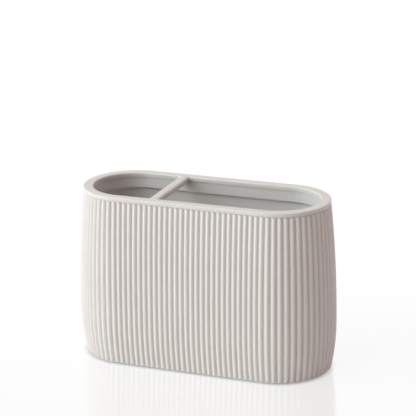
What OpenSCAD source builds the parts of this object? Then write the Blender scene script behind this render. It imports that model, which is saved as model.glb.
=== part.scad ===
// Toothbrush holder: a reeded cup, straight front and back with round ends,
// and a frame that drops into its mouth. The frame's bar splits the mouth in
// two, a small space on the left and a large one on the right.
// Millimetres, +Z up, front towards -Y, origin on the surface it stands on,
// below the middle of the cup.

/* [Cup] */
// Length of the straight front and back, between the round ends
flat_len = 88.2; // [60:0.2:140]
// Radius of the round ends over the reeds, at the widest height
belly_r = 32.7; // [28:0.1:45]
// Height of the widest part of the wall
belly_z = 27; // [18:0.5:34]
// Radius of the arc that draws the wall in below the widest part
lower_arc_r = 130; // [90:2:400]
// Radius of the arc that draws the wall in above the widest part
upper_arc_r = 720; // [400:10:2000]
// Height of the cup's top edge, where the frame sits
cup_top_z = 97.4; // [80:0.2:130]
// Thickness of the wall at the mouth, reeds included
mouth_wall = 3; // [2.2:0.1:4]
// Thickness of the floor
floor_t = 4.4; // [2.6:0.2:8]
// Radius where the inner wall turns into the floor
floor_round = 5; // [1:0.5:12]

/* [Reeds] */
// Number of reeds along the straight front, and along the back
flat_reeds = 28; // [12:1:36]
// Number of reeds round each end
end_reeds = 27; // [11:2:35]
// How far a reed stands out of the groove beside it
reed_rise = 0.8; // [0.3:0.1:1.2]
// Height over which the reeds round off at their top
reed_head = 0.8; // [0.5:0.1:3]
// Height over which the reeds round off at their foot
reed_foot = 1.8; // [0.5:0.1:4]

/* [Frame] */
// Thickness of the frame's rim, which shows above the cup
rim_t = 2.6; // [1.8:0.1:5]
// Radius of the rim's rounded edges
rim_edge = 0.8; // [0.2:0.1:0.9]
// Radius of the rim's eased lower edge, where the seam shows
seam_edge = 0.45; // [0.1:0.05:0.8]
// Width of the rim's lip inside the skirt
lip_w = 0.6; // [0.2:0.1:2]
// Thickness of the skirt that drops into the cup
skirt_t = 1.9; // [1.2:0.1:3]
// Depth of the skirt below the cup's top edge
skirt_drop = 6.7; // [3:0.1:15]
// Gap between the skirt and the cup all round
skirt_gap = 0.3; // [0.2:0.05:0.8]

/* [Bar] */
// Distance of the bar from the middle, to the left
bar_offset = 22.4; // [0:0.1:27]
// Width of the bar
bar_w = 5.2; // [3:0.1:8]
// Depth of the bar from its top to its underside
bar_t = 3.6; // [2.6:0.1:6]
// Radius of the bar's rounded upper edges
bar_edge = 1.2; // [0.2:0.1:1.4]
// Radius of the fillets where the bar meets the rim
bar_fillet = 0.8; // [0.5:0.1:4]

/* [Feet] */
// Radius of a foot pad
foot_r = 6; // [4:0.1:8]
// How far the feet hold the cup off the surface
foot_stand = 0.6; // [0.3:0.1:2]
// Depth of the pocket that a foot is glued into
foot_pocket = 1.4; // [0.6:0.1:2]
// Gap round a foot in its pocket
foot_gap = 0.2; // [0.1:0.05:0.5]
// Height of the bevel round a foot's lower edge
foot_bevel = 0.3; // [0.1:0.05:0.3]
// Distance of a foot pad from the edge of the base
foot_inset = 8.8; // [3:0.2:14]

/* [Hidden] */

// Length by which a cut runs past the face that it opens
overrun = 1;
// Facets across one reed
reed_facets = 4;
// At 1 a reed is a plain wave, and below 1 its crest is fuller and the groove
// narrower
crest_power = 0.7;
// Levels in a reed's rounded head or foot, and in the wall below and above
// its widest part
end_steps = 2;
lower_steps = 3;
upper_steps = 4;

cup_color = [0.86, 0.85, 0.83];
frame_color = [0.88, 0.87, 0.85];
foot_color = [0.55, 0.55, 0.54];

total_h = cup_top_z + rim_t;
floor_z = foot_stand + floor_t;

// Radius of the wall over the reeds at height z: two arcs that meet, level,
// at the widest part
function arc_drop(r, dz) = r - sqrt(r * r - dz * dz);
function wall_r(z) =
    belly_r - arc_drop(z < belly_z ? lower_arc_r : upper_arc_r, z - belly_z);

rim_r = wall_r(cup_top_z);
bore_r = rim_r - mouth_wall;
skirt_outer_r = bore_r - skirt_gap;
skirt_inner_r = skirt_outer_r - skirt_t;
mouth_r = skirt_inner_r - lip_w;

// The feet stand below the centres of the round ends
base_r = wall_r(foot_stand) - reed_rise;
foot_x = flat_len / 2;
foot_y = base_r - foot_inset - foot_r;

flat_points = flat_reeds * reed_facets;
end_points = end_reeds * reed_facets;
ring_points = 2 * (flat_points + end_points);

// Where point i of a ring stands: the x of the centre that it is measured
// from, and its direction from there. The ring starts at the left end of the
// front and runs anticlockwise.
function station(i) =
    i < flat_points
        ? [-flat_len / 2 + flat_len * i / flat_points, -90]
    : i < flat_points + end_points
        ? [flat_len / 2, -90 + 180 * (i - flat_points) / end_points]
    : i < 2 * flat_points + end_points
        ? [flat_len / 2 - flat_len * (i - flat_points - end_points) / flat_points, 90]
    : [-flat_len / 2, 90 + 180 * (i - 2 * flat_points - end_points) / end_points];

// A reed's height across its width, as a share of the full rise. A ring starts
// on a crest.
function reed_share(i) =
    pow(0.5 + 0.5 * cos(360 * (i % reed_facets) / reed_facets), crest_power);

function wall_point(i, z, run_share) =
    let (
        s = station(i),
        r = wall_r(z) - reed_rise * (1 - run_share * reed_share(i))
    )
    [s[0] + r * cos(s[1]), r * sin(s[1]), z];

// Heights of the rings, each with the share of the full rise that the reeds
// have there
body_low_z = foot_stand + reed_foot;
body_high_z = cup_top_z - reed_head;
function round_off(step) = 1 - cos(90 * step / end_steps);
levels = concat(
    [for (k = [0 : end_steps])
        [foot_stand + reed_foot * round_off(k), sin(90 * k / end_steps)]],
    [for (k = [1 : lower_steps])
        [body_low_z + (belly_z - body_low_z) * k / lower_steps, 1]],
    [for (k = [1 : upper_steps - 1])
        [belly_z + (body_high_z - belly_z) * k / upper_steps, 1]],
    [for (k = [end_steps : -1 : 0])
        [cup_top_z - reed_head * round_off(k), sin(90 * k / end_steps)]]
);

// The solid inside the reeds. Its flat top and bottom are fans of triangles
// round a point in the middle.
module reeded_block() {
    last_ring = (len(levels) - 1) * ring_points;
    low_middle = len(levels) * ring_points;
    high_middle = low_middle + 1;
    polyhedron(
        points = concat(
            [for (level = levels)
                for (i = [0 : ring_points - 1]) wall_point(i, level[0], level[1])],
            [[0, 0, foot_stand], [0, 0, cup_top_z]]
        ),
        faces = [
            for (i = [0 : ring_points - 1])
                let (j = (i + 1) % ring_points)
                each concat(
                    [[low_middle, i, j], [high_middle, last_ring + j, last_ring + i]],
                    [for (ring = [0 : ring_points : last_ring - 1])
                        let (up = ring + ring_points)
                        each [[ring + i, up + i, up + j], [ring + i, up + j, ring + j]]]
                )
        ]
    );
}

// Carries a half section, radius along x and height along y, round an
// obround path
module obround() {
    for (side = [-1, 1])
        translate([side * flat_len / 2, 0, 0])
            rotate([0, 0, -90 * side])
                rotate_extrude(angle = 180, $fn = 96)
                    children();
    rotate([90, 0, 90])
        linear_extrude(height = flat_len, center = true) {
            children();
            mirror([1, 0]) children();
        }
}

module bore_section() {
    translate([0, floor_z + floor_round])
        square([bore_r, cup_top_z - floor_z - floor_round + overrun]);
    translate([0, floor_z])
        square([bore_r - floor_round, 2 * floor_round]);
    translate([bore_r - floor_round, floor_z + floor_round])
        circle(r = floor_round, $fn = 48);
}

// Upright band with rounded top edges, its foot at the x axis
module rounded_band(inner_r, outer_r, height, edge) {
    translate([inner_r, 0])
        square([outer_r - inner_r, height - edge]);
    translate([inner_r + edge, 0])
        square([outer_r - inner_r - 2 * edge, height]);
    for (x = [inner_r + edge, outer_r - edge])
        translate([x, height - edge])
            circle(r = edge, $fn = 32);
}

// What is cut away to round the lower outer corner of a band
module lower_corner(outer_r, edge) {
    difference() {
        translate([outer_r - edge, -overrun])
            square([edge + overrun, edge + overrun]);
        translate([outer_r - edge, edge])
            circle(r = edge, $fn = 32);
    }
}

module rim_section() {
    translate([0, cup_top_z])
        difference() {
            rounded_band(mouth_r, rim_r, rim_t, rim_edge);
            lower_corner(rim_r, seam_edge);
        }
    translate([skirt_inner_r, cup_top_z - skirt_drop])
        square([skirt_t, skirt_drop + rim_t / 2]);
}

module bar() {
    reach = mouth_r + lip_w;
    translate([-bar_offset, 0, total_h - bar_t])
        rotate([90, 0, 0])
            linear_extrude(height = 2 * reach, center = true)
                rounded_band(-bar_w / 2, bar_w / 2, bar_t, bar_edge);
}

// The four fillets in the corners between the bar and the rim
module bar_fillets() {
    fillet_t = rim_t - max(rim_edge, bar_edge);
    for (side = [-1, 1])
        for (end = [-1, 1])
            translate([-bar_offset + side * bar_w / 2, end * mouth_r, cup_top_z])
                scale([side, end, 1])
                    linear_extrude(height = fillet_t)
                        difference() {
                            translate([-bar_w / 4, -bar_fillet])
                                square([bar_fillet + bar_w / 4, bar_fillet + lip_w]);
                            translate([bar_fillet, -bar_fillet])
                                circle(r = bar_fillet, $fn = 48);
                        }
}

module cup() {
    color(cup_color)
        difference() {
            reeded_block();
            obround() bore_section();
            for (x = [-foot_x, foot_x])
                for (y = [-foot_y, foot_y])
                    translate([x, y, foot_stand - overrun])
                        cylinder(r = foot_r + foot_gap, h = overrun + foot_pocket, $fn = 64);
        }
}

module top_frame() {
    color(frame_color) {
        obround() rim_section();
        bar();
        bar_fillets();
    }
}

module foot(side, end) {
    color(foot_color)
        translate([side * foot_x, end * foot_y, 0]) {
            cylinder(r1 = foot_r - foot_bevel, r2 = foot_r, h = foot_bevel, $fn = 64);
            translate([0, 0, foot_bevel])
                cylinder(r = foot_r, h = foot_stand + foot_pocket - foot_bevel, $fn = 64);
        }
}

cup();
top_frame();
foot(-1, -1);  // foot_front_left
foot(1, -1);  // foot_front_right
foot(-1, 1);  // foot_back_left
foot(1, 1);  // foot_back_right
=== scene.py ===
import math

import bmesh
import bpy
from mathutils import Matrix, Vector


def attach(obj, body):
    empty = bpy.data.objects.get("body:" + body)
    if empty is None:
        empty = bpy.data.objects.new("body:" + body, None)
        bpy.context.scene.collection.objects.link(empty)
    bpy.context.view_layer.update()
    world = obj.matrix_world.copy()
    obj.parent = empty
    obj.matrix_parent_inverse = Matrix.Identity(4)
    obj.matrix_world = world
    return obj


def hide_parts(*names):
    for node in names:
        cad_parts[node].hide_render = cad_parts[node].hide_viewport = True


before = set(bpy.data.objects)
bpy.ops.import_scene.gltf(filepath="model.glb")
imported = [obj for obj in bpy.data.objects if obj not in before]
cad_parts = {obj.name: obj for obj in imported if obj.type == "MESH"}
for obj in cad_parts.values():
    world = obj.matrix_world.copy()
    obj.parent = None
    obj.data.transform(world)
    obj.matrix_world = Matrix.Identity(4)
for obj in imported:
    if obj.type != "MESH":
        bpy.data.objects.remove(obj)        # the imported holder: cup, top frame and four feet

mm = 0.001
weldReach = 0.002 * mm   # points of a carried section nearer than this become one
firstColour, secondColour, mixedColour = 6, 7, 2    # a Mix node's colour sockets
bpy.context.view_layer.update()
print("frame loaded:", ", ".join(sorted(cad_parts)))


# helpers

def hexColor(text):
    # sRGB hex to the linear colour that shaders and lamps take
    channels = [int(text[i:i + 2], 16) / 255 for i in (1, 3, 5)]
    linear = [c / 12.92 if c <= 0.04045 else ((c + 0.055) / 1.055) ** 2.4 for c in channels]
    return (*linear, 1.0)


def addNode(tree, kind, inputs=None, **settings):
    # one node with its settings; an input takes a value or another node's output
    node = tree.nodes.new(kind)
    for name, value in settings.items():
        setattr(node, name, value)
    for key, value in (inputs or {}).items():
        if isinstance(value, bpy.types.NodeSocket):
            tree.links.new(value, node.inputs[key])
        else:
            node.inputs[key].default_value = value
    return node


def emptyTree(owner):
    # the node tree of a material or world, with nothing in it yet
    owner.use_nodes = True
    owner.node_tree.nodes.clear()
    return owner.node_tree


def formTree(name, inputs, output):
    # a Geometry Nodes tree with named inputs, and the sockets they come in by
    tree = bpy.data.node_groups.new(name, "GeometryNodeTree")
    for label, kind in inputs.items():
        tree.interface.new_socket(label, in_out="INPUT", socket_type="NodeSocket" + kind)
    tree.interface.new_socket(output, in_out="OUTPUT", socket_type="NodeSocketGeometry")
    return tree, addNode(tree, "NodeGroupInput").outputs


def runTree(piece, tree, values):
    # the tree as a modifier, each input set by the identifier of its socket
    modifier = piece.modifiers.new(tree.name, "NODES")
    modifier.node_group = tree
    for item in tree.interface.items_tree:
        if item.item_type == "SOCKET" and item.in_out == "INPUT" and item.name in values:
            modifier[item.identifier] = values[item.name]


def meshObject(name, mesh):
    piece = bpy.data.objects.new(name, mesh)
    bpy.context.scene.collection.objects.link(piece)
    return piece


def settle(piece):
    # the evaluated shape becomes a plain mesh and the modifiers go
    graph = bpy.context.evaluated_depsgraph_get()
    mesh = bpy.data.meshes.new_from_object(piece.evaluated_get(graph))
    piece.modifiers.clear()
    piece.data = mesh
    return piece


def softEdges(piece, degrees):
    # smooth faces, with the edges that turn more than this kept crisp
    for face in piece.data.polygons:
        face.use_smooth = True
    piece.data.set_sharp_from_angle(angle=math.radians(degrees))


def quarterTurn(steps):
    # directions from 0 to 90 degrees, in radians
    return [math.radians(90 * k / steps) for k in range(steps + 1)]


def joinRings(form, lower, upper):
    # a closed band of faces between two rings of points
    for k in range(len(lower)):
        n = (k + 1) % len(lower)
        form.faces.new((lower[k], lower[n], upper[n], upper[k]))


def ringEdges(form, ring):
    # the edges that joinRings drew between the points of a ring
    return [form.edges.get((ring[k - 1], ring[k])) for k in range(len(ring))]


def pointOutwards(piece):
    # all faces turned to look out, because a shape carried round a path can come out reversed
    form = bmesh.new()
    form.from_mesh(piece.data)
    bmesh.ops.recalc_face_normals(form, faces=form.faces[:])
    form.to_mesh(piece.data)
    form.free()
    return piece


def formObject(name, form):
    # the finished form as an object, with its faces looking out
    mesh = bpy.data.meshes.new(name)
    form.to_mesh(mesh)
    form.free()
    return pointOutwards(meshObject(name, mesh))


def sectionObject(name, points):
    # a line of points: x is the distance from the path, z the height, and
    # reedRun says how far the reeds stand out there, from 0 to 1
    mesh = bpy.data.meshes.new(name)
    edges = [(i, i + 1) for i in range(len(points) - 1)]
    mesh.from_pydata([(r * mm, 0, z * mm) for r, z, run in points], edges, [])
    reedRun = mesh.attributes.new("reedRun", "FLOAT", "POINT")
    reedRun.data.foreach_set("value", [run for r, z, run in points])
    return meshObject(name, mesh)


def arcPoints(centreR, centreZ, radius, start, end, steps):
    # part of a circle in the section, from one direction in degrees to another
    turns = [math.radians(start + (end - start) * k / steps) for k in range(steps + 1)]
    return [(centreR + radius * math.cos(a), centreZ + radius * math.sin(a), 0.0) for a in turns]


# Geometry Nodes: a section carried round the holder's plan, with reeds

def wrapTree():
    tree, given = formTree("carrySectionRoundPlan", {
        "Section": "Geometry", "Straight Length": "Float", "Reeds On A Straight": "Int",
        "Reeds Round An End": "Int", "Points Across A Reed": "Int", "Reed Rise": "Float",
        "Crest Fullness": "Float", "Finish": "Material"}, "Piece")

    # a flat grid: one column for each point of the plan, one row for each point of the section
    halfRound = addNode(tree, "ShaderNodeMath", {
        0: given["Reeds On A Straight"], 1: given["Reeds Round An End"]},
        operation="ADD").outputs[0]
    allReeds = addNode(tree, "ShaderNodeMath", {
        0: halfRound, 1: 2.0}, operation="MULTIPLY").outputs[0]
    steps = addNode(tree, "ShaderNodeMath", {
        0: allReeds, 1: given["Points Across A Reed"]}, operation="MULTIPLY").outputs[0]
    columns = addNode(tree, "ShaderNodeMath", {0: steps, 1: 1.0}, operation="ADD").outputs[0]
    rows = addNode(tree, "GeometryNodeAttributeDomainSize", {
        "Geometry": given["Section"]}, component="MESH").outputs["Point Count"]
    grid = addNode(tree, "GeometryNodeMeshGrid", {
        "Size X": 1.0, "Size Y": 1.0, "Vertices X": columns, "Vertices Y": rows}).outputs["Mesh"]

    # where a grid point belongs: reeds passed on the way round, and its row of the section
    # (the grid is centred, so its X and Y run from -0.5 to 0.5)
    place = addNode(tree, "ShaderNodeSeparateXYZ", {
        0: addNode(tree, "GeometryNodeInputPosition").outputs[0]}).outputs
    roundShare = addNode(tree, "ShaderNodeMath", {
        0: place["X"], 1: 0.5}, operation="ADD").outputs[0]
    along = addNode(tree, "ShaderNodeMath", {
        0: roundShare, 1: allReeds}, operation="MULTIPLY").outputs[0]
    upShare = addNode(tree, "ShaderNodeMath", {
        0: place["Y"], 1: 0.5}, operation="ADD").outputs[0]
    lastRow = addNode(tree, "ShaderNodeMath", {0: rows, 1: 1.0}, operation="SUBTRACT").outputs[0]
    rowExact = addNode(tree, "ShaderNodeMath", {
        0: upShare, 1: lastRow}, operation="MULTIPLY").outputs[0]
    row = addNode(tree, "ShaderNodeMath", {0: rowExact}, operation="ROUND").outputs[0]
    sectionPoint = addNode(tree, "GeometryNodeSampleIndex", {
        "Geometry": given["Section"], "Index": row,
        "Value": addNode(tree, "GeometryNodeInputPosition").outputs[0]},
        data_type="FLOAT_VECTOR").outputs[0]
    storedRun = addNode(tree, "GeometryNodeInputNamedAttribute", {
        "Name": "reedRun"}, data_type="FLOAT").outputs[0]
    reedRun = addNode(tree, "GeometryNodeSampleIndex", {
        "Geometry": given["Section"], "Index": row, "Value": storedRun},
        data_type="FLOAT").outputs[0]
    radiusHeight = addNode(tree, "ShaderNodeSeparateXYZ", {0: sectionPoint}).outputs

    # a reed's height: 1 on the crest where it starts, 0 in the groove, (0.5 + 0.5 cos) ^ fullness
    turnOver = addNode(tree, "ShaderNodeMath", {
        0: along, 1: 2.0 * math.pi}, operation="MULTIPLY").outputs[0]
    swing = addNode(tree, "ShaderNodeMath", {0: turnOver}, operation="COSINE").outputs[0]
    wave = addNode(tree, "ShaderNodeMath", {
        0: swing, 1: 0.5, 2: 0.5}, operation="MULTIPLY_ADD").outputs[0]
    crown = addNode(tree, "ShaderNodeMath", {
        0: wave, 1: given["Crest Fullness"]}, operation="POWER").outputs[0]
    reedHeight = addNode(tree, "ShaderNodeMath", {
        0: crown, 1: reedRun}, operation="MULTIPLY").outputs[0]
    radius = addNode(tree, "ShaderNodeMath", {
        0: reedHeight, 1: given["Reed Rise"], 2: radiusHeight["X"]},
        operation="MULTIPLY_ADD").outputs[0]

    # the plan: front, right end, back, left end, each a share from 0 to 1
    legs = []
    begin = 0.0
    for length in ("Reeds On A Straight", "Reeds Round An End") * 2:
        end = addNode(tree, "ShaderNodeMath", {
            0: begin, 1: given[length]}, operation="ADD").outputs[0]
        legs.append(addNode(tree, "ShaderNodeMapRange", {
            "Value": along, "From Min": begin, "From Max": end}).outputs[0])
        begin = end
    forth = addNode(tree, "ShaderNodeMath", {
        0: legs[0], 1: legs[2]}, operation="SUBTRACT").outputs[0]
    fromMiddle = addNode(tree, "ShaderNodeMath", {
        0: forth, 1: 0.5}, operation="SUBTRACT").outputs[0]
    centreX = addNode(tree, "ShaderNodeMath", {
        0: fromMiddle, 1: given["Straight Length"]}, operation="MULTIPLY").outputs[0]
    turned = addNode(tree, "ShaderNodeMath", {
        0: legs[1], 1: legs[3]}, operation="ADD").outputs[0]
    angle = addNode(tree, "ShaderNodeMath", {
        0: turned, 1: math.pi, 2: -math.pi / 2}, operation="MULTIPLY_ADD").outputs[0]
    cosine = addNode(tree, "ShaderNodeMath", {0: angle}, operation="COSINE").outputs[0]
    sine = addNode(tree, "ShaderNodeMath", {0: angle}, operation="SINE").outputs[0]
    x = addNode(tree, "ShaderNodeMath", {
        0: radius, 1: cosine, 2: centreX}, operation="MULTIPLY_ADD").outputs[0]
    y = addNode(tree, "ShaderNodeMath", {0: radius, 1: sine}, operation="MULTIPLY").outputs[0]
    onPlan = addNode(tree, "ShaderNodeCombineXYZ", {0: x, 1: y, 2: radiusHeight["Z"]}).outputs[0]

    # how deep in a groove a point lies, for the finish's painted groove shade to read
    grooveDepth = addNode(tree, "ShaderNodeMath", {
        0: reedRun, 1: reedHeight}, operation="SUBTRACT").outputs[0]
    marked = addNode(tree, "GeometryNodeStoreNamedAttribute", {
        "Geometry": grid, "Name": "grooveDepth", "Value": grooveDepth},
        data_type="FLOAT", domain="POINT").outputs[0]
    wrapped = addNode(tree, "GeometryNodeSetPosition", {
        "Geometry": marked, "Position": onPlan}).outputs[0]
    closed = addNode(tree, "GeometryNodeMergeByDistance", {
        "Geometry": wrapped, "Distance": weldReach}).outputs[0]
    real = addNode(tree, "GeometryNodeRealizeInstances", {"Geometry": closed}).outputs[0]
    finished = addNode(tree, "GeometryNodeSetMaterial", {
        "Geometry": real, "Material": given["Finish"]}).outputs[0]
    addNode(tree, "NodeGroupOutput", {"Piece": finished})
    return tree


def copiesTree():
    # one copy of a piece under each corner of a rectangle
    tree, given = formTree("copyToFourCorners", {
        "Pad": "Geometry", "Corner Spacing X": "Float", "Corner Spacing Y": "Float",
        "Finish": "Material"}, "Pads")
    corners = addNode(tree, "GeometryNodeMeshGrid", {
        "Size X": given["Corner Spacing X"], "Size Y": given["Corner Spacing Y"],
        "Vertices X": 2, "Vertices Y": 2}).outputs["Mesh"]
    copies = addNode(tree, "GeometryNodeInstanceOnPoints", {
        "Points": corners, "Instance": given["Pad"]}).outputs[0]
    real = addNode(tree, "GeometryNodeRealizeInstances", {"Geometry": copies}).outputs[0]
    finished = addNode(tree, "GeometryNodeSetMaterial", {
        "Geometry": real, "Material": given["Finish"]}).outputs[0]
    addNode(tree, "NodeGroupOutput", {"Pads": finished})
    return tree


sweep = wrapTree()
print("node trees made")


# finishes; noiseSpan is where most values of a noise texture lie

noiseSpan = (0.3, 0.7)

castResin = {
    "tones": ("#dddbd8", "#e2e0dd"),
    "driftSize": 25.0,        # millimetres across a soft cloud of the casting
    "powder": "#cfcac3",
    "powderSize": 0.5,        # millimetres
    "powderSpan": (0.35, 0.65),
    "powderMost": 0.25,       # the most that the powder tints
    # painted shade: the brown that the colour turns towards deep in the grooves
    "groove": "#c4b7ac",
    "grooveSpan": (0.5, 1.0),   # depth in a groove over which its painted shade comes in
    "grooveMost": 0.8,
    "roughness": (0.46, 0.56),
    "ior": 1.5,
    "bump": 0.12,
    "bumpHeight": 0.05,       # millimetres
}

siliconeRubber = {
    "tones": ("#94938f", "#a3a29e"),
    "toothSize": 0.4,         # millimetres
    "roughness": (0.68, 0.82),
    "ior": 1.41,
    "bump": 0.3,
    "bumpHeight": 0.05,       # millimetres
}


def mattResin():
    # Matt polyresin, cast in a polished mould and left unlacquered: an even
    # warm grey with a soft broad sheen and a faint powdery grain, and a painted
    # brown shade deep in the grooves, where less light gets in.
    material = bpy.data.materials.new("mattCastResin")
    tree = emptyTree(material)
    spot = addNode(tree, "ShaderNodeTexCoord").outputs["Object"]
    drifts = addNode(tree, "ShaderNodeTexNoise", {
        "Vector": spot, "Scale": 1 / (castResin["driftSize"] * mm),
        "Detail": 2.0, "Roughness": 0.5}).outputs["Fac"]
    # stone powder in the resin, its grains drawn coarser than real so that they show
    powder = addNode(tree, "ShaderNodeTexNoise", {
        "Vector": spot, "Scale": 1 / (castResin["powderSize"] * mm),
        "Detail": 3.0, "Roughness": 0.6}).outputs["Fac"]
    body = addNode(tree, "ShaderNodeMix", {
        "Factor": drifts, firstColour: hexColor(castResin["tones"][0]),
        secondColour: hexColor(castResin["tones"][1])}, data_type="RGBA").outputs[mixedColour]
    powderTint = addNode(tree, "ShaderNodeMapRange", {
        "Value": powder, "From Min": castResin["powderSpan"][0],
        "From Max": castResin["powderSpan"][1], "To Max": castResin["powderMost"]}).outputs[0]
    speckled = addNode(tree, "ShaderNodeMix", {
        "Factor": powderTint, firstColour: body,
        secondColour: hexColor(castResin["powder"])}, data_type="RGBA").outputs[mixedColour]
    depth = addNode(tree, "ShaderNodeAttribute", attribute_name="grooveDepth").outputs["Fac"]
    # painted shade: deeper in a groove the colour turns browner and darker, for the shade that falls
    # there
    paintedGrooveShade = addNode(tree, "ShaderNodeMapRange", {
        "Value": depth, "From Min": castResin["grooveSpan"][0],
        "From Max": castResin["grooveSpan"][1], "To Max": castResin["grooveMost"]}).outputs[0]
    colour = addNode(tree, "ShaderNodeMix", {
        "Factor": paintedGrooveShade, firstColour: speckled,
        secondColour: hexColor(castResin["groove"])}, data_type="RGBA").outputs[mixedColour]
    roughness = addNode(tree, "ShaderNodeMapRange", {
        "Value": powder, "From Min": noiseSpan[0], "From Max": noiseSpan[1],
        "To Min": castResin["roughness"][0], "To Max": castResin["roughness"][1]}).outputs[0]
    grain = addNode(tree, "ShaderNodeBump", {
        "Height": powder, "Strength": castResin["bump"],
        "Distance": castResin["bumpHeight"] * mm}).outputs[0]
    shader = addNode(tree, "ShaderNodeBsdfPrincipled", {
        "Base Color": colour, "Roughness": roughness, "IOR": castResin["ior"],
        "Normal": grain}).outputs[0]
    addNode(tree, "ShaderNodeOutputMaterial", {"Surface": shader})
    return material


def softSilicone():
    # Moulded silicone rubber: mid grey, dull, with a fine tooth from the mould
    # that grips the counter.
    material = bpy.data.materials.new("mouldedSilicone")
    tree = emptyTree(material)
    spot = addNode(tree, "ShaderNodeTexCoord").outputs["Object"]
    tooth = addNode(tree, "ShaderNodeTexNoise", {
        "Vector": spot, "Scale": 1 / (siliconeRubber["toothSize"] * mm),
        "Detail": 2.0, "Roughness": 0.55}).outputs["Fac"]
    colour = addNode(tree, "ShaderNodeMix", {
        "Factor": tooth, firstColour: hexColor(siliconeRubber["tones"][0]),
        secondColour: hexColor(siliconeRubber["tones"][1])},
        data_type="RGBA").outputs[mixedColour]
    roughness = addNode(tree, "ShaderNodeMapRange", {
        "Value": tooth, "From Min": noiseSpan[0], "From Max": noiseSpan[1],
        "To Min": siliconeRubber["roughness"][0],
        "To Max": siliconeRubber["roughness"][1]}).outputs[0]
    bump = addNode(tree, "ShaderNodeBump", {
        "Height": tooth, "Strength": siliconeRubber["bump"],
        "Distance": siliconeRubber["bumpHeight"] * mm}).outputs[0]
    shader = addNode(tree, "ShaderNodeBsdfPrincipled", {
        "Base Color": colour, "Roughness": roughness, "IOR": siliconeRubber["ior"],
        "Normal": bump}).outputs[0]
    addNode(tree, "ShaderNodeOutputMaterial", {"Surface": shader})
    return material


resin = mattResin()
silicone = softSilicone()
print("finishes made")


# cup, in millimetres as all pieces are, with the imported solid's own sizes

cup = {
    "straight": 88.2,         # length of the straight front and back
    "bellyRadius": 32.7,      # over the reeds, at the widest height
    "bellyHeight": 27.0,
    "lowerArc": 130.0,        # radius of the wall's arc below the belly
    "upperArc": 720.0,        # and above it
    "bottom": 0.6,            # held off the surface by the pads
    "top": 97.4,
    "mouthWall": 3.0,
    "floor": 5.0,             # height of the floor's upper face
    "floorRound": 5.0,
    "edgeRound": 0.35,        # eased inner corner at the mouth, which the solid leaves sharp
    "pocketRadius": 6.2,      # the pads and the 0.2 mm round them
    "pocketCeiling": 2.0,     # height that the pads reach up to
    "pocketInset": 8.6,       # from the edge of the base
    "wallSteps": 15,          # steps of the mesh between the reeds' rounded ends
    "floorSteps": 8,
    "edgeSteps": 4,
    "pocketSides": 72,
    "crispTurn": 50,          # edges that turn more degrees than this stay crisp
}

reeds = {
    "straight": 28,           # reeds on the front, and on the back
    "end": 27,                # reeds round each end
    "rise": 0.8,
    "headRound": 0.8,
    "footRound": 1.8,
    "fullness": 0.7,          # at 1 a reed is a plain wave, below 1 its crest is fuller
    "points": 14,             # mesh points across one reed
    "roundSteps": 7,          # steps of the mesh in a reed's rounded head or foot
}


def wallRadius(z):
    # two arcs that meet, level, at the widest height
    arc = cup["lowerArc"] if z < cup["bellyHeight"] else cup["upperArc"]
    return cup["bellyRadius"] - (arc - math.sqrt(arc ** 2 - (z - cup["bellyHeight"]) ** 2))


rimRadius = wallRadius(cup["top"])
boreRadius = rimRadius - cup["mouthWall"]
pocketX = cup["straight"] / 2
pocketY = wallRadius(cup["bottom"]) - reeds["rise"] - cup["pocketInset"] - cup["pocketRadius"]


def cupSection():
    # from the edge of the base, up the reeded wall, over the mouth and down to the floor's middle
    foot, head = reeds["footRound"], reeds["headRound"]
    low, high = cup["bottom"] + foot, cup["top"] - head
    quarter = quarterTurn(reeds["roundSteps"])
    steps = cup["wallSteps"]
    wall = [(cup["bottom"] + foot * (1 - math.cos(a)), math.sin(a)) for a in quarter]
    wall += [(low + (high - low) * k / steps, 1.0) for k in range(1, steps + 1)]
    wall += [(high + head * math.sin(a), math.cos(a)) for a in quarter[1:]]
    section = [(wallRadius(z) - reeds["rise"], z, run) for z, run in wall]
    ease, turn = cup["edgeRound"], cup["floorRound"]
    section += arcPoints(boreRadius + ease, cup["top"] - ease, ease, 90, 180, cup["edgeSteps"])
    section += arcPoints(boreRadius - turn, cup["floor"] + turn, turn, 0, -90, cup["floorSteps"])
    section.append((0.0, cup["floor"], 0.0))
    return section


def closeBase(piece):
    # the flat underside, with the four pockets that the pads sit in
    form = bmesh.new()
    form.from_mesh(piece.data)
    fillEdges = [line for line in form.edges if line.is_boundary]
    radius = cup["pocketRadius"] * mm
    turns = [2 * math.pi * k / cup["pocketSides"] for k in range(cup["pocketSides"])]
    for sx in (-1, 1):
        for sy in (-1, 1):
            lower, upper = [[form.verts.new((
                sx * pocketX * mm + radius * math.cos(a),
                sy * pocketY * mm + radius * math.sin(a), z * mm)) for a in turns]
                for z in (cup["bottom"], cup["pocketCeiling"])]
            joinRings(form, lower, upper)
            form.faces.new(upper)
            fillEdges += ringEdges(form, lower)
    bmesh.ops.triangle_fill(form, use_beauty=True, edges=fillEdges, normal=(0, 0, -1))
    form.to_mesh(piece.data)
    form.free()
    pointOutwards(piece)


reededCup = sectionObject("reededCup", cupSection())
runTree(reededCup, sweep, {
    "Straight Length": cup["straight"] * mm,
    "Reeds On A Straight": reeds["straight"],
    "Reeds Round An End": reeds["end"],
    "Points Across A Reed": reeds["points"],
    "Reed Rise": reeds["rise"] * mm,
    "Crest Fullness": reeds["fullness"],
    "Finish": resin,
})
settle(reededCup)
closeBase(reededCup)
softEdges(reededCup, cup["crispTurn"])
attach(reededCup, "holder")
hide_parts("cup")
print("cup made:", len(reededCup.data.polygons), "faces")


# top frame

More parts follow.
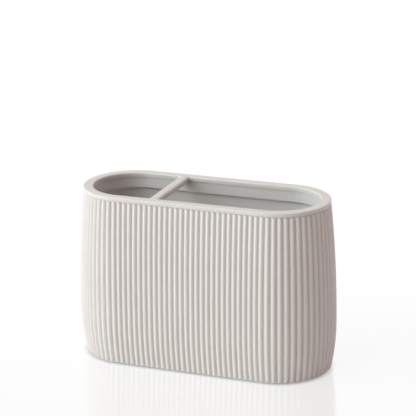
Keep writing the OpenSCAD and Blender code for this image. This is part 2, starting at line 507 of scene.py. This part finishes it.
topFrame = {
    "rimThickness": 2.6,
    "edge": 0.8,              # rounding of the rim's upper edges
    "lowerEdge": 0.45,        # easing of the rim's lower edge, where the seam shows
    "seamGap": 0.12,          # the rim stands this far off the reeds, a fine dark line
    "lip": 0.6,
    "skirtThickness": 1.9,
    "skirtDrop": 6.7,
    "skirtGap": 0.3,
    "skirtRound": 0.35,       # easing of the skirt's lower edges, which the solid leaves sharp
    "barOffset": 22.4,
    "barWidth": 5.2,
    "barDepth": 3.6,
    "barEdge": 1.2,           # rounding of the bar's upper edges
    "barLowerRound": 0.45,    # and of its lower ones, which the solid leaves sharp
    "cornerFillet": 0.8,
    "endSteps": 72,           # steps of the mesh round each end of the rim
    "filletSteps": 12,
    "edgeSteps": 10,          # in the rim's and the bar's upper edges
    "easeSteps": 4,           # in the small lower edges
    "skirtParts": (1, 6),     # the skirt goes along a straight and round an end in so many parts
    "skirtPoints": 12,        # mesh points in a part
    "crispTurn": 40,          # edges that turn more degrees than this stay crisp
}

skirtOuter = boreRadius - topFrame["skirtGap"]
skirtInner = skirtOuter - topFrame["skirtThickness"]
mouthRadius = skirtInner - topFrame["lip"]


def ovalArc(cx, cy, rx, ry, start, end, steps):
    # part of an oval in the plan, from one direction in degrees to another
    turns = [math.radians(start + (end - start) * k / steps) for k in range(steps + 1)]
    return [(cx + rx * math.cos(a), cy + ry * math.sin(a)) for a in turns]


def outerPlan(shrink):
    # the rim's outer edge, drawn in by so much
    half, steps = cup["straight"] / 2, topFrame["endSteps"]
    radius = rimRadius - shrink
    return (ovalArc(half, 0, radius, radius, -90, 90, steps)
            + ovalArc(-half, 0, radius, radius, 90, 270, steps))


def barFace(side):
    # x of the bar's right face (1) or its left one (-1)
    return -topFrame["barOffset"] + side * topFrame["barWidth"] / 2


def mouthPlan(side, grow, barGrow):
    # one mouth of the rim, right of the bar (1) or left of it (-1), its corners filleted
    half, steps = cup["straight"] / 2, topFrame["endSteps"]
    fillet, filletSteps = topFrame["cornerFillet"], topFrame["filletSteps"]
    cornerX = barFace(side) + side * fillet
    cornerY = mouthRadius - fillet
    radius = mouthRadius + grow
    across, along = fillet + barGrow, fillet + grow
    if side < 0:
        return (ovalArc(-half, 0, radius, radius, 90, 270, steps)
                + ovalArc(cornerX, -cornerY, across, along, 270, 360, filletSteps)
                + ovalArc(cornerX, cornerY, across, along, 0, 90, filletSteps))
    return (ovalArc(cornerX, -cornerY, across, along, 180, 270, filletSteps)
            + ovalArc(half, 0, radius, radius, -90, 90, steps)
            + ovalArc(cornerX, cornerY, across, along, 90, 180, filletSteps))


def drawnBack(depth, radius):
    # how far back a rounded upper edge stands at a depth below the top
    return radius - math.sqrt(radius ** 2 - (radius - depth) ** 2) if depth < radius else 0.0


def rimPlate():
    # rim and bar as one plate with rounded upper edges, both mouths open
    bottom = cup["top"] + topFrame["seamGap"]
    top = cup["top"] + topFrame["rimThickness"]
    edge, barEdge, ease = topFrame["edge"], topFrame["barEdge"], topFrame["lowerEdge"]
    levels = []             # height, and how far back the rim, the bar and the outer edge stand there
    for a in quarterTurn(topFrame["easeSteps"]):
        levels.append((bottom + ease * (1 - math.cos(a)), 0.0, 0.0, ease * (1 - math.sin(a))))
    for a in quarterTurn(topFrame["edgeSteps"]):
        depth = barEdge * (1 - math.sin(a))
        back = drawnBack(depth, edge)
        levels.append((top - depth, back, drawnBack(depth, barEdge), back))
    stacks = [[outerPlan(out) for z, rim, bar, out in levels]]
    stacks += [[mouthPlan(side, rim, bar) for z, rim, bar, out in levels] for side in (1, -1)]
    form = bmesh.new()
    walls = []
    for stack in stacks:
        rings = [[form.verts.new((x * mm, y * mm, level[0] * mm)) for x, y in plan]
                 for level, plan in zip(levels, stack)]
        for lower, upper in zip(rings, rings[1:]):
            joinRings(form, lower, upper)
        walls.append(rings)
    for level, up in ((0, -1), (-1, 1)):    # the flat underside, then the flat top
        bounds = [line for rings in walls for line in ringEdges(form, rings[level])]
        bmesh.ops.triangle_fill(form, use_beauty=True, edges=bounds, normal=(0, 0, up))
    return formObject("rimFrame", form)


def skirtBand():
    # the band below the rim that drops into the cup, rounded at its lower edges
    low = cup["top"] - topFrame["skirtDrop"]
    high = cup["top"] + topFrame["rimThickness"] / 2
    ease, steps = topFrame["skirtRound"], topFrame["easeSteps"]
    section = [(skirtInner, high, 0.0)]
    section += arcPoints(skirtInner + ease, low + ease, ease, 180, 270, steps)
    section += arcPoints(skirtOuter - ease, low + ease, ease, 270, 360, steps)
    section += [(skirtOuter, high, 0.0), (skirtInner, high, 0.0)]
    band = sectionObject("skirtBand", section)
    runTree(band, sweep, {
        "Straight Length": cup["straight"] * mm,
        "Reeds On A Straight": topFrame["skirtParts"][0],
        "Reeds Round An End": topFrame["skirtParts"][1],
        "Points Across A Reed": topFrame["skirtPoints"],
        "Reed Rise": 0.0,
        "Crest Fullness": 1.0,
        "Finish": resin,
    })
    return pointOutwards(settle(band))


def barRib():
    # the lower part of the bar, its long lower edges eased
    low = cup["top"] + topFrame["rimThickness"] - topFrame["barDepth"]
    high = cup["top"] + topFrame["rimThickness"] / 2
    ease, steps = topFrame["barLowerRound"], topFrame["easeSteps"]
    reach = skirtInner + topFrame["skirtThickness"] / 2
    outline = [(barFace(-1), high)]
    for side, start in ((-1, 180), (1, 270)):
        outline += ovalArc(barFace(side) - side * ease, low + ease, ease, ease,
                           start, start + 90, steps)
    outline.append((barFace(1), high))
    form = bmesh.new()
    front, back = [[form.verts.new((x * mm, y * mm, z * mm)) for x, z in outline]
                   for y in (-reach, reach)]
    joinRings(form, front, back)
    form.faces.new(front)
    form.faces.new(back)
    return formObject("barRib", form)


rimFrame = rimPlate()
for part in (skirtBand(), barRib()):
    join = rimFrame.modifiers.new("join", "BOOLEAN")
    join.operation = "UNION"
    join.solver = "MANIFOLD"
    join.object = part
    settle(rimFrame)
    bpy.data.objects.remove(part)
rimFrame.data.materials.clear()
rimFrame.data.materials.append(resin)
for face in rimFrame.data.polygons:
    face.material_index = 0     # the joined parts came with slots of their own
softEdges(rimFrame, topFrame["crispTurn"])
even = rimFrame.modifiers.new("evenShading", "WEIGHTED_NORMAL")
even.keep_sharp = True
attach(rimFrame, "frame")
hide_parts("top_frame")
print("top frame made:", len(rimFrame.data.polygons), "faces")


# pads, which reach from the surface to the ceilings of their pockets

pads = {
    "radius": 6.0,
    "edgeRound": 0.5,         # rounding of the lower edge, which the solid bevels
    "halfParts": 3,           # each half of a pad is carried round in so many parts
    "points": 12,             # mesh points in a part
    "edgeSteps": 6,
    "crispTurn": 40,          # edges that turn more degrees than this stay crisp
}


def padSection():
    # from the middle of the underside, round the edge and back over the top, with a point
    # just inside the edge that keeps the underside flat
    ease, radius, high = pads["edgeRound"], pads["radius"], cup["pocketCeiling"]
    section = [(0.0, 0.0, 0.0), (radius - 2 * ease, 0.0, 0.0)]
    section += arcPoints(radius - ease, ease, ease, -90, 0, pads["edgeSteps"])
    section += [(radius, high, 0.0), (0.0, high, 0.0)]
    return section


footPads = sectionObject("footPads", padSection())
runTree(footPads, sweep, {
    "Straight Length": 0.0,
    "Reeds On A Straight": 0,
    "Reeds Round An End": pads["halfParts"],
    "Points Across A Reed": pads["points"],
    "Reed Rise": 0.0,
    "Crest Fullness": 1.0,
    "Finish": silicone,
})
runTree(footPads, copiesTree(), {
    "Corner Spacing X": 2 * pocketX * mm,
    "Corner Spacing Y": 2 * pocketY * mm,
    "Finish": silicone,
})
settle(footPads)
softEdges(footPads, pads["crispTurn"])
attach(footPads, "holder")
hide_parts("foot_front_left", "foot_front_right", "foot_back_left", "foot_back_right")
print("pads made:", len(footPads.data.polygons), "faces")


# floor, backdrop and light, with lengths in metres

studio = {
    "floorSize": 6.0,
    "bounceColour": "#f3f1ee",  # what the floor sends up to the holder
    "floorColour": "#606060",   # the part of the seen floor that takes the shadow
    "floorGlow": 0.69,          # the rest of it, an even white
    "contactReach": 0.003,      # how near the holder must be to dim that white into a painted contact shadow
    "contactLight": 0.45,       # what is left of it in the gap under the base
    "contactSamples": 16,
    "floorGloss": 0.12,         # roughness of the sheet
    "floorIor": 2.0,
    "ambient": 0.09,
    "ambientColour": "#ffeeee",
    "lamps": {                  # turn is in degrees round from the front, power in watts
        "keySoftBox": {"power": 83.5, "size": 2.8, "turn": -51.0, "rise": 22.0, "colour": "#f5fdff"},
        "topSoftBox": {"power": 27.0, "size": 2.0, "turn": 0.0, "rise": 86.0, "colour": "#fff0e8"},
        "warmFill": {"power": 5.0, "size": 1.4, "turn": 115.0, "rise": 20.0, "colour": "#ffb8cc"},
        "backSoftBox": {"power": 16.0, "size": 1.6, "turn": 158.0, "rise": 12.0, "colour": "#fffefc"},
    },
    "lampDistance": 2.5,
}


def seenDirectly(tree):
    # 1 for rays from the camera and for those that gloss or glass sends on
    paths = addNode(tree, "ShaderNodeLightPath").outputs
    either = addNode(tree, "ShaderNodeMath", {
        0: paths["Is Camera Ray"], 1: paths["Is Glossy Ray"]}, operation="MAXIMUM").outputs[0]
    return addNode(tree, "ShaderNodeMath", {
        0: either, 1: paths["Is Transmission Ray"]}, operation="MAXIMUM").outputs[0]


def studioFloor():
    # white acrylic sheet: bright, smooth, with a faint reflection of what stands on it
    mesh = bpy.data.meshes.new("studioFloor")
    half = studio["floorSize"] / 2
    corners = [(-half, -half, 0), (half, -half, 0), (half, half, 0), (-half, half, 0)]
    mesh.from_pydata(corners, [], [(0, 1, 2, 3)])
    floor = meshObject("studioFloor", mesh)
    material = bpy.data.materials.new("whiteAcrylicSheet")
    tree = emptyTree(material)
    sheet = addNode(tree, "ShaderNodeBsdfPrincipled", {
        "Base Color": hexColor(studio["floorColour"]), "Roughness": studio["floorGloss"],
        "IOR": studio["floorIor"]}).outputs[0]
    # the white dims only where the holder all but touches the floor: a painted contact shadow, a dark
    # line under its base
    openness = addNode(tree, "ShaderNodeAmbientOcclusion", {
        "Distance": studio["contactReach"]}, samples=studio["contactSamples"]).outputs["AO"]
    glowing = addNode(tree, "ShaderNodeMapRange", {
        "Value": openness, "To Min": studio["floorGlow"] * studio["contactLight"],
        "To Max": studio["floorGlow"]}).outputs[0]
    glow = addNode(tree, "ShaderNodeEmission", {
        "Color": (1, 1, 1, 1), "Strength": glowing}).outputs[0]
    shown = addNode(tree, "ShaderNodeAddShader", {0: sheet, 1: glow}).outputs[0]
    bounce = addNode(tree, "ShaderNodeBsdfDiffuse", {
        "Color": hexColor(studio["bounceColour"])}).outputs[0]
    surface = addNode(tree, "ShaderNodeMixShader", {
        0: seenDirectly(tree), 1: bounce, 2: shown}).outputs[0]
    addNode(tree, "ShaderNodeOutputMaterial", {"Surface": surface})
    mesh.materials.append(material)


def studioWorld():
    # a weak even light on the holder, and plain white wherever the backdrop is seen
    world = bpy.data.worlds.new("studioWorld")
    bpy.context.scene.world = world
    tree = emptyTree(world)
    soft = addNode(tree, "ShaderNodeBackground", {
        "Color": hexColor(studio["ambientColour"]), "Strength": studio["ambient"]}).outputs[0]
    white = addNode(tree, "ShaderNodeBackground", {
        "Color": (1, 1, 1, 1), "Strength": 1.0}).outputs[0]
    surface = addNode(tree, "ShaderNodeMixShader", {
        0: seenDirectly(tree), 1: soft, 2: white}).outputs[0]
    addNode(tree, "ShaderNodeOutputWorld", {"Surface": surface})


def softLamp(name, setting):
    # a square soft box that faces the middle of the holder
    turn, rise = math.radians(setting["turn"]), math.radians(setting["rise"])
    toward = Vector((math.sin(turn) * math.cos(rise), -math.cos(turn) * math.cos(rise),
                     math.sin(rise)))
    lamp = bpy.data.lights.new(name, "AREA")
    lamp.shape = "SQUARE"
    lamp.size = setting["size"]
    lamp.energy = setting["power"]
    lamp.color = hexColor(setting["colour"])[:3]
    box = bpy.data.objects.new(name, lamp)
    bpy.context.scene.collection.objects.link(box)
    box.location = Vector((0, 0, cup["top"] * mm / 2)) + toward * studio["lampDistance"]
    box.rotation_mode = "QUATERNION"
    box.rotation_quaternion = (-toward).to_track_quat("-Z", "Y")


studioFloor()
studioWorld()
for name, setting in studio["lamps"].items():
    softLamp(name, setting)
print("studio made")


# camera, at the place worked out from the reeds and outlines of the photograph

camera = {
    "place": (0.35915, -0.91620, 0.39303),  # metres
    "azimuth": 21.3292,       # degrees round from the front, towards the right
    "elevation": 17.1267,     # degrees that it looks down
    "roll": -0.7113,
    "lens": 156.751,          # millimetres
    "sensor": 36.0,           # millimetres across
    "clip": (0.05, 20.0),     # metres
}


def addCamera():
    # back points from the scene to the camera, and the roll turns right and top round it
    turn, tilt, roll = (math.radians(camera[name]) for name in ("azimuth", "elevation", "roll"))
    back = Vector((math.sin(turn) * math.cos(tilt), -math.cos(turn) * math.cos(tilt),
                   math.sin(tilt)))
    level = Vector((math.cos(turn), math.sin(turn), 0))
    upright = back.cross(level)
    right = level * math.cos(roll) + upright * math.sin(roll)
    top = upright * math.cos(roll) - level * math.sin(roll)
    lens = bpy.data.cameras.new("photoCamera")
    lens.sensor_width = camera["sensor"]
    lens.lens = camera["lens"]
    lens.clip_start, lens.clip_end = camera["clip"]
    body = bpy.data.objects.new("photoCamera", lens)
    bpy.context.scene.collection.objects.link(body)
    turned = Matrix((right, top, back)).transposed().to_4x4()
    body.matrix_world = Matrix.Translation(camera["place"]) @ turned
    bpy.context.scene.camera = body


addCamera()
bpy.context.scene.view_settings.view_transform = "Standard"
print("camera placed")
